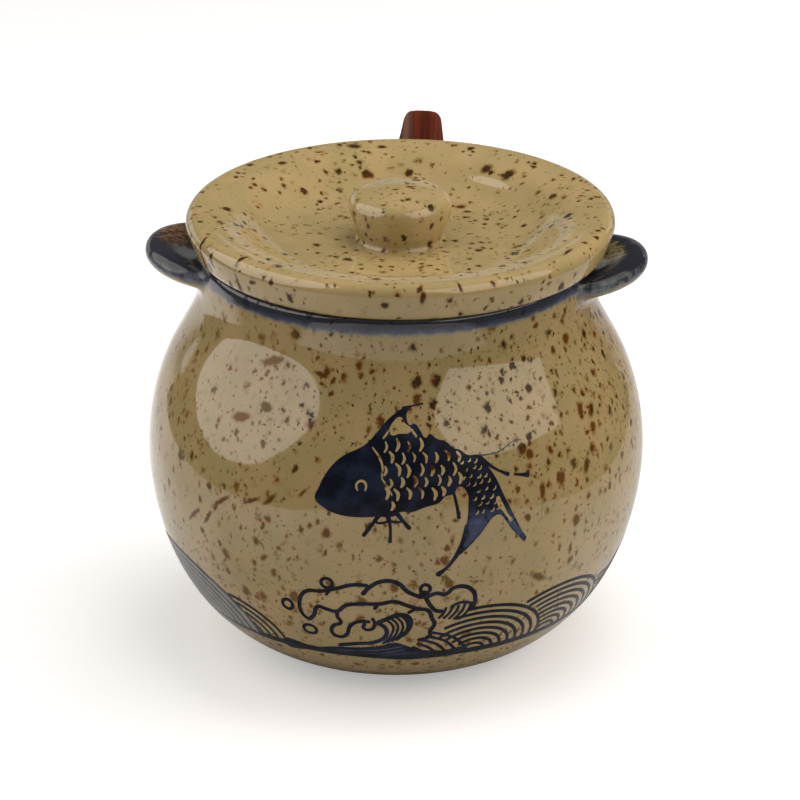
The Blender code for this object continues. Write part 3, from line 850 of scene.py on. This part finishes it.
# blots of iron that stand out: middle, half length and half width in mm, and how far the long side is turned
# round the belly and the lid's side the middle is mm from the front and mm up, on the lid's top it is x and y
blots = {
    "belly": [
        (-14.2, 70.6, 1.6, 0.5, -11), (-16.9, 53.6, 1.1, 0.6, 57), (-33.9, 43.2, 3.2, 0.5, 38),
        (-25.9, 45.6, 1.9, 0.5, 28), (-21.9, 46.7, 2.0, 0.6, 45), (-37.6, 38.6, 2.4, 0.5, 53),
        (-42.2, 37.6, 3.0, 0.5, 43), (-25.0, 37.3, 1.1, 0.8, -79), (-26.3, 63.2, 1.6, 1.1, -18),
        (-32.0, 60.3, 2.5, 1.0, 17), (-27.8, 71.2, 3.0, 1.0, 21), (52.9, 71.7, 1.2, 1.1, 58),
        (36.3, 66.2, 1.0, 0.9, 75), (52.1, 58.4, 1.6, 0.9, 56), (46.8, 49.0, 1.8, 0.9, 73),
        (34.5, 47.4, 2.0, 0.8, 88), (32.5, 54.9, 1.1, 1.0, -89), (39.4, 48.5, 1.6, 1.0, 77),
        (34.4, 28.5, 2.2, 0.9, -33)],
    "side": [
        (7.5, 88.3, 1.5, 0.7, 90), (7.0, 89.9, 0.9, 0.4, 30), (0.2, 86.7, 0.9, 0.8, 19),
        (-23.2, 88.4, 0.9, 0.5, -91), (20.4, 84.6, 1.0, 0.4, 45), (14.9, 89.7, 1.1, 0.4, -67),
        (-28.5, 86.9, 0.6, 0.6, 0), (-41.2, 87.9, 1.8, 0.6, 78)],
    "top": [
        (16.5, 28.7, 1.4, 1.2, 0), (21.2, 25.6, 1.6, 1.2, 35), (-11.5, 36.2, 1.7, 1.1, -6),
        (-5.7, 36.5, 1.1, 0.9, 5), (11.8, 18.1, 1.2, 1.1, 4), (-8.2, 28.5, 1.2, 1.0, 23),
        (-15.4, -5.5, 1.0, 0.8, -33), (-8.5, -12.8, 1.2, 0.8, -41), (-25.4, 25.4, 1.1, 0.8, 42),
        (12.8, 36.5, 1.0, 0.8, 46), (-31.8, 22.8, 1.1, 0.7, 41), (35.0, -21.3, 2.0, 0.5, 70),
        (22.6, -28.5, 1.0, 0.8, -25), (14.0, -19.0, 1.3, 1.2, 4), (-0.8, -37.8, 1.1, 0.9, 4),
        (-14.0, -28.5, 1.2, 0.8, 0), (-27.5, -29.5, 1.8, 0.6, 45), (-36.2, -19.5, 1.5, 0.5, 60),
        (26.1, 27.1, 1.1, 0.6, -51)],
}


def blotPlaces(part):
    # middle, turn and size of the flat ellipsoids that stain the glaze
    places = []
    for p, q, long, wide, turn in blots[part]:
        if part == "belly":
            middle, out = onBelly(p, q, 0)
        elif part == "side":
            out = Vector((math.sin(p / cover["radius"]), -math.cos(p / cover["radius"]), 0))
            middle = (Vector((cover["drift"], 0, q)) + out * cover["radius"]) * mm
        else:
            out = Vector((0, 0, 1))
            middle = Vector((p, q, cover["seat"] + cover["thick"] / 2)) * mm
        east = Vector((1, 0, 0)) if part == "top" else Vector((-out.y, out.x, 0)).normalized()
        along = Matrix.Rotation(math.radians(turn), 3, out) @ east
        lie = Matrix((along, out.cross(along), out)).transposed()
        deep = glaze["blotDepthTop"] if part == "top" else glaze["blotDepth"]
        places.append((middle, lie.to_euler(), (long * mm, wide * mm, deep * mm)))
    return places


def speckledGlaze(add, place, parts=()):
    # the colour of the cream glaze with its iron, and how strongly the iron stands at each place
    x, y, z = add("x y z", place)
    onLid = (z, glaze["lidFrom"] * mm, glaze["lidFull"] * mm)
    # spots crowd together in drifts about 20 mm wide, most of all on the right shoulder
    drift = add("noise", place, 60.0, 2.0)
    right = fade(add, (x, 8, 34), (z, 36, 58), (z, 84.5, 83.0))
    crowd = add("add", add("ramp", drift, 0.36, 0.64, 0.50, 1.30), add("multiply", right, 0.75))
    low = fade(add, (z, 56, 44), (z, 8, 16))
    # noise frays the edges of all the spots
    shift = add("move back", add("noise colours", place, 850.0, 3.0), (0.5, 0.5, 0.5))
    core = halo = 0.0
    for cell, least, most, share, seed, long, turn, side, ragged in glaze["spots"]:
        frayed = add("move", place, add("stretch", shift, ragged * mm))
        laid = add("lay", frayed, (seed * 0.1,) * 3, (0, math.radians(turn), 0), (1, 1, long))
        cells = add("cells", laid, 1000 / cell)
        chance = add("red green blue", cells["Color"])
        small = least / cell
        size = add("multiply_add", add("power", chance[0], 1.8), most / cell - small, small)
        depth = add("subtract", size, cells["Distance"])
        held = add("multiply", crowd, share)
        if cell < 1.5:
            # the finest ones are scarce on the lid
            held = add("multiply", held, add("ramp", *onLid, 1.0, 0.45))
        if side:
            beside = fade(add, (add("multiply", x, side), 4, 26))
            held = add("multiply", held, add("multiply", beside, low))
        there = add("less_than", chance[1], held)
        inner = add("ramp", depth, -0.1 * small, 0.9 * small)
        outer = add("ramp", depth, -1.1 * small, 0.5 * small)
        core = add("maximum", core, add("multiply", inner, there))
        halo = add("maximum", halo, add("multiply", outer, there))
    # the placed blots, frayed a little too: how far off the nearest one is, counted in its own size
    frayed = add("move", place, add("stretch", shift, mm))
    nearest = 9.0
    for middle, turn, size in [found for part in parts for found in blotPlaces(part)]:
        nearest = add("minimum", add("length", add("lay", frayed, middle, turn, size)), nearest)
    core = add("maximum", core, add("ramp", nearest, 1.05, 0.55))
    halo = add("maximum", halo, add("ramp", nearest, 1.40, 0.80))
    # clouds of warmer cream 8 mm wide, under an olive grain that is drawn 0.7 mm coarse so that it shows
    cloud = add("noise", place, 130.0, 3.0)
    grain = add("noise", place, 1500.0, 2.0)
    hue = add("noise", place, 210.0, 1.0)
    skin = add("blend", add("ramp", cloud, 0.38, 0.66), colour(glaze["cream"]), colour(glaze["warm"]))
    skin = add("blend", add("ramp", grain, 0.50, 0.85, 0.0, 0.5), skin, colour(glaze["olive"]))
    tone = add("blend", add("ramp", hue, 0.42, 0.56), colour(glaze["moss"]), colour(glaze["rust"]))
    skin = add("blend", add("multiply", halo, 0.60), skin, tone)
    # low on the belly the spots are redder and washed out, above it they are nearly black
    red = add("maximum", add("ramp", hue, 0.46, 0.58, 0.0, 0.8), add("multiply", low, 0.75))
    red = add("multiply", red, add("ramp", *onLid, 1.0, 0.35))
    iron = add("blend", red, colour(glaze["iron"]), colour(glaze["ironRed"]))
    # on the left shoulder the spots are drawn fainter, a painted highlight where the left softbox is mirrored
    deep = fade(add, (x, -12, -22), (z, 50, 56), (z, 82.5, 80.0))
    strong = add("ramp", z, 20 * mm, 62 * mm, 0.66, 0.92)
    strong = add("multiply", strong, add("ramp", deep, 0.0, 1.0, 1.0, 0.55))
    return add("blend", add("multiply", core, strong), skin, iron), core


def coatSurface(add, skin, bump, roughness=glaze["roughness"], ior=glaze["ior"], mirror=glaze["mirror"]):
    add("surface", add("coat", skin, roughness, ior, mirror, bump))


def glazeBump(add, place, core):
    # the fired surface swims by a few hundredths of a mm over 12 mm, and the spots stand in fine pits
    swim = add("noise", place, 85.0, 1.0)
    peel = add("noise", place, 650.0, 1.0)
    height = add("multiply_add", swim, glaze["swim"], add("multiply", peel, glaze["peel"]))
    return add("bump", add("subtract", height, add("multiply", core, glaze["pit"])), mm)


def fireGlaze(add, place, skin, core):
    # iron breaks the surface of the glaze, so the spots mirror less
    mirror = add("ramp", core, 0.1, 0.9, glaze["mirror"], glaze["ironMirror"])
    coatSurface(add, skin, glazeBump(add, place, core), mirror=mirror)


brush = {
    "thin": "#424C66", "thick": "#1C2233", "margin": "#74766F", "wornRimAndReflection": "#7E858A",
    # mm: where the paint ends below, how far it dips towards the ears, how much its edge wavers and it pools
    "neckLow": 79.1, "dip": 0.8, "earLow": 71.9, "earSlope": 0.165, "waver": 1.5, "pooling": 2.4,
    "earRoughness": 0.13, "earIor": 1.6,
    # each ear is rubbed beside the lid: middle and half size in mm, two colours, and how much the whole ear
    # is darkened, a painted shade
    "rubbed": {
        -1: {"x": 44.5, "y": 5.0, "wide": 4.0, "long": 9.0, "tones": ("#32251C", "#7E5F3E"), "deep": 0.0},
        1: {"x": 42.6, "y": 0.0, "wide": 3.2, "long": 6.0, "tones": ("#2F2F24", "#8C7C4C"), "deep": 0.35}},
}


def brushCobalt(add, skin, low, place):
    # paint above a wavy edge at the height low: a watery margin, thin blue, then nearly black towards the top
    x, y, z = add("x y z", place)
    waver, pooling = brush["waver"] * mm, brush["pooling"] * mm
    edge = add("multiply_add", add("noise", place, 420.0, 3.0), waver, add("subtract", low, waver / 2))
    level = add("subtract", z, edge)
    skin = add("blend", add("ramp", level, -0.45 * mm, 0.15 * mm, 0.0, 0.5), skin, colour(brush["margin"]))
    full = add("multiply_add", add("noise", place, 120.0, 2.0), pooling, add("subtract", level, pooling / 2))
    tone = add("blend", fade(add, (full, 0.2, 1.9)), colour(brush["thin"]), colour(brush["thick"]))
    return add("blend", add("ramp", level, 0.0, 0.8 * mm, 0.0, 0.95), skin, tone)


def makeJarGlaze():
    # iron-speckled stoneware glaze, fired glossy: a wet-looking cream skin, with a cobalt band on the neck
    mat, add = newMaterial("Speckled stoneware glaze")
    place = add("object place")
    skin, core = speckledGlaze(add, place, ["belly"])
    x, y, z = add("x y z", place)
    # the band dips to meet the ears
    dip = add("ramp", add("absolute", x), 35.5 * mm, pot["neckRadius"] * mm, 0.0, brush["dip"] * mm)
    # the jar's glaze is darkened against the lid's as painted shade
    skin = add("blend", glaze["jarPaintedShade"], skin, (0, 0, 0, 1))
    skin = brushCobalt(add, skin, add("subtract", brush["neckLow"] * mm, dip), place)
    fireGlaze(add, place, skin, core)
    return mat


def makePlainGlaze():
    # the same glaze without the band, on lid and knob
    mat, add = newMaterial("Speckled stoneware lid glaze")
    place = add("object place")
    skin, core = speckledGlaze(add, place, ["side", "top"])
    fireGlaze(add, place, skin, core)
    return mat


def makeEarGlaze(side):
    # cobalt brushed over the lug down to its rim's lower line, and rubbed beside the lid
    mat, add = newMaterial("Brushed cobalt glaze")
    place = add("object place")
    skin, core = speckledGlaze(add, place)
    x, y, z = add("x y z", place)
    out = add("absolute", x)
    skin = brushCobalt(add, skin, add("multiply_add", out, brush["earSlope"], brush["earLow"] * mm), place)
    # the paint lies thicker on the right ear
    # the right ear is darkened all over, a painted shade
    rubbed = brush["rubbed"][side]
    skin = add("blend", rubbed["deep"], skin, (0, 0, 0, 1))
    off = add("flat vector", add("divide", add("subtract", out, rubbed["x"] * mm), rubbed["wide"] * mm),
              add("divide", add("subtract", y, rubbed["y"] * mm), rubbed["long"] * mm))
    wear = add("noise", place, 700.0, 3.0)
    bare = add("multiply_add", wear, 1.6, add("subtract", add("length", off), 0.8))
    bare = add("multiply", add("ramp", bare, 1.15, 0.75), fade(add, (z, 77.5, 78.5)))
    grain = add("ramp", add("noise", place, 900.0, 3.0), 0.32, 0.70)
    skin = add("blend", bare, skin, add("blend", grain, *[colour(code) for code in rubbed["tones"]]))
    # the paint is paler along the outer edge, partly worn thin and partly a painted reflection of the white
    # paper
    ring = add("flat vector", add("divide", add("subtract", out, ear["rootRadius"] * mm), ear["reach"] * mm),
               add("divide", y, ear["spread"] * mm))
    pale = add("ramp", wear, 0.35, 0.65, 0.1, 0.75)
    wornRimAndReflection = add("multiply", add("ramp", add("length", ring), 0.93, 0.99), pale)
    skin = add("blend", wornRimAndReflection, skin, colour(brush["wornRimAndReflection"]))
    coatSurface(add, skin, glazeBump(add, place, core), brush["earRoughness"], brush["earIor"])
    return mat


lacquer = {
    "light": "#662B17", "dark": "#4C1E0F", "line": "#2A100A", "planed": "#7B5442",
    "roughness": 0.38, "ior": 1.45, "mirror": 0.18, "relief": 0.02, "stretch": 16,
}


def makeWood():
    # lacquered rosewood-brown spoon: fine grain along the handle under a satin lacquer
    # its lines are drawn 0.5 mm wide, coarser than real pores, so that they show
    mat, add = newMaterial("Dark lacquered wood")
    place = add("object place")
    lean = math.radians(spoonLine["lean"] - 90)
    along = add("lay", place, (0, 0, 0), (lean, 0, 0), (1, 1, lacquer["stretch"]))
    broad = add("ramp", add("noise", along, 420.0, 2.0), 0.35, 0.65)
    grain = add("noise", along, 2200.0, 4.0)
    skin = add("blend", broad, colour(lacquer["dark"]), colour(lacquer["light"]))
    skin = add("blend", add("ramp", grain, 0.45, 0.75, 0.0, 0.7), skin, colour(lacquer["line"]))
    # the handle is drawn paler along its planed edge
    x, y, z = add("x y z", place)
    planed = add("multiply", fade(add, (x, -0.4, -1.4), (z, 83, 90)), 0.75)
    skin = add("blend", planed, skin, colour(lacquer["planed"]))
    bump = add("bump", add("multiply", grain, lacquer["relief"]), mm)
    coatSurface(add, skin, bump, lacquer["roughness"], lacquer["ior"], lacquer["mirror"])
    return mat


stencil = {
    "Matt cobalt paint": ("#0E121D", "#1E2638"), "Thinned cobalt paint": ("#343C52", "#50566A"),
    "Grey painted reflection": ("#868578", "#94917E"), "tail": "#3A425C", "roughness": 0.28, "ior": 1.3,
}


def makeCobalt(name):
    # cobalt stencilled over the glaze and fired matt: nearly black where it pools, bluer where it is thin;
    # the same shader also makes the grey painted reflection
    mat, add = newMaterial(name)
    place = add("object place")
    x, y, z = add("x y z", place)
    pool = add("ramp", add("noise", place, 260.0, 3.0), 0.40, 0.70)
    skin = add("blend", pool, *[colour(code) for code in stencil[name]])
    # the tail was brushed with thinner paint
    streak = add("ramp", add("noise", place, 900.0, 2.0), 0.3, 0.6)
    tail = add("multiply", fade(add, (x, 16.5, 18.5), (z, 47.5, 44.0), (z, 36, 40)), streak)
    skin = add("blend", tail, skin, colour(stencil["tail"]))
    coatSurface(add, skin, glazeBump(add, place, 0.0), stencil["roughness"], stencil["ior"])
    return mat


jarGlaze = makeJarGlaze()
lidGlaze = makePlainGlaze()
cobalt = makeCobalt("Matt cobalt paint")
thinned = makeCobalt("Thinned cobalt paint")
veiledByReflection = makeCobalt("Grey painted reflection")

jarPiece = makeJar()
dress(jarPiece, jarGlaze)
print("jar turned:", len(jarPiece.data.polygons), "faces")
makePainting(cobalt, thinned, veiledByReflection, lidGlaze)
print("belly painted")
for name, side in (("ear_right_glazed", 1), ("ear_left_glazed", -1)):
    lug = makeEar(name, side)
    dress(lug, makeEarGlaze(side))
print("ears luted on")
lidPiece = makeLid()
dress(lidPiece, lidGlaze)
knobPiece = makeKnob()
dress(knobPiece, lidGlaze)
print("lid and knob turned")
spoonPiece = makeSpoon()
dress(spoonPiece, makeWood())
print("spoon carved")


# camera at the photograph's angle: metres, degrees, and mm for the height it looks at and the lens
view = {
    "distance": 0.8, "elevation": 23.55, "azimuth": 4.4, "target": 47.5,
    "lens": 176.915, "sensor": 36, "shiftX": 0.005125, "shiftY": 0.007125, "nearest": 0.01,
}


def towards(azimuth, elevation):
    # azimuth runs from the front towards +X
    turn, up = math.radians(azimuth), math.radians(elevation)
    return Vector((math.cos(up) * math.sin(turn), -math.cos(up) * math.cos(turn), math.sin(up)))


def makeCamera():
    clearSelection()
    aim = towards(view["azimuth"], view["elevation"])
    bpy.ops.object.camera_add(location=Vector((0, 0, view["target"] * mm)) + aim * view["distance"])
    cam = bpy.context.object
    cam.rotation_euler = (-aim).to_track_quat("-Z", "Y").to_euler()
    cam.data.sensor_width = view["sensor"]
    cam.data.lens = view["lens"]
    cam.data.shift_x = view["shiftX"]
    cam.data.shift_y = view["shiftY"]
    cam.data.clip_start = view["nearest"]
    bpy.context.scene.camera = cam


# studio: white paper on a dark table, two softboxes, and two fills that the glaze doesn't mirror
# name: azimuth, elevation, distance, width, height, shape, brightness of the face, tint, mirrored or not
lamps = {
    "left softbox": (-80, 33, 0.60, 0.90, 0.90, "DISK", 1.40, "#FFF6EF", True),
    "right softbox": (60, 38, 0.60, 0.66, 0.60, "RECTANGLE", 1.16, "#FFF3E8", True),
    "top fill": (135, 75, 0.70, 0.50, 0.50, "RECTANGLE", 3.2, "#FFFFFF", False),
    "right fill": (105, 20, 0.70, 0.50, 0.50, "RECTANGLE", 3.0, "#FFF6EF", False),
}
lampTarget = Vector((0, 0, 0.05))


def makeLamps():
    for name, (azimuth, elevation, distance, width, height, shape, face, tint, mirrored) in lamps.items():
        aim = towards(azimuth, elevation)
        clearSelection()
        bpy.ops.object.light_add(type="AREA", location=lampTarget + aim * distance)
        lamp = bpy.context.object
        lamp.name = name
        lamp.rotation_euler = (-aim).to_track_quat("-Z", "Y").to_euler()
        lamp.data.shape = shape
        lamp.data.size = width
        area = width * height
        if shape == "DISK":
            area *= math.pi / 4
        else:
            lamp.data.size_y = height
        lamp.data.energy = face * math.pi * area
        lamp.data.color = colour(tint)[:3]
        lamp.visible_glossy = mirrored


# what the glaze mirrors of the room: a white sweep stands behind the jar, in shade straight behind it
# the room is dim, and dimmer where it is mirrored, as the glaze mirrors more than real glaze does
room = {"floor": 0.10, "ceiling": 0.22, "mirrored": 0.45, "sweepShade": 0.26, "sweepLight": 0.68}


def makeWorld():
    world = bpy.data.worlds.new("Studio")
    bpy.context.scene.world = world
    world.use_nodes = True
    world.node_tree.nodes.clear()
    add = partial(addNode, world.node_tree)
    x, y, z = add("x y z", add("sky place"))
    rays = add("rays")
    sweep = fade(add, (y, 0.56, 0.62), (z, 0.30, 0.20), (x, 0.56, 0.50), unit=1)
    shade = add("ramp", add("absolute", x), 0.35, 0.55, room["sweepShade"], room["sweepLight"])
    walls = add("ramp", z, -0.2, 0.9, room["floor"], room["ceiling"])
    walls = add("multiply", walls, add("ramp", rays["Is Glossy Ray"], 0.0, 1.0, 1.0, room["mirrored"]))
    level = add("add", walls, add("multiply", sweep, shade))
    level = add("maximum", level, rays["Is Camera Ray"])
    add("sky", add("sky light", (1, 1, 1, 1), level))


# the paper's own tones, and those of its mirror image from left to right, behind and before the jar;
# the light that bounces off the glaze onto it, and how much the seen paper is lifted
paper = {
    "size": 6, "table": "#4A4A4A", "white": "#E4E4E4", "behind": ("#E6E6E6", "#A8A8A8"),
    "before": ("#C6C6C6", "#A4A4A4"), "bounce": 0.32, "lift": 0.35,
}


def makeFloor():
    clearSelection()
    bpy.ops.mesh.primitive_plane_add(size=paper["size"])
    floor = bpy.context.object
    floor.name = "paper_floor"
    mat, add = newMaterial("White paper")
    x, y, z = add("x y z", add("object place"))
    rays = add("rays")
    # the sheet lies askew: its left edge slants, its right one is 170 mm out and its front one 650 mm
    left = add("multiply_add", y, 0.32, add("add", x, 210 * mm))
    sheet = fade(add, (left, -5, 5), (x, 175, 165), (y, -660, -640))
    # the sweep behind is wide
    slant = add("maximum", add("multiply", x, -0.74), add("multiply", x, 1.25))
    sweep = fade(add, (add("subtract", y, slant), -10, 20))
    white = add("maximum", add("maximum", sheet, sweep), rays["Is Camera Ray"])
    lit = add("blend", white, colour(paper["table"]), colour(paper["white"]))
    # mirrored in the glaze the sheet is dimmer in front of the jar
    behind = add("blend", fade(add, (x, -20, 60)), *[colour(code) for code in paper["behind"]])
    before = add("blend", fade(add, (x, -120, -30)), *[colour(code) for code in paper["before"]])
    mirrored = add("blend", fade(add, (y, -20, 70)), before, behind)
    tone = add("blend", add("multiply", rays["Is Glossy Ray"], white), lit, mirrored)
    # close beside the jar the mirrored paper is lit by what bounces off the glaze
    beside = add("absolute", x)
    near = fade(add, (beside, 20, 45), (beside, 160, 80), (y, -45, -15))
    bounce = add("multiply", add("multiply", rays["Is Glossy Ray"], near), paper["bounce"])
    glow = add("glow", (1, 1, 1, 1), add("multiply_add", rays["Is Camera Ray"], paper["lift"], bounce))
    add("surface", add("both", add("matt", tone), glow))
    dress(floor, mat)


makeCamera()
makeLamps()
makeWorld()
makeFloor()
bpy.context.scene.view_settings.view_transform = "Standard"
print("studio set")
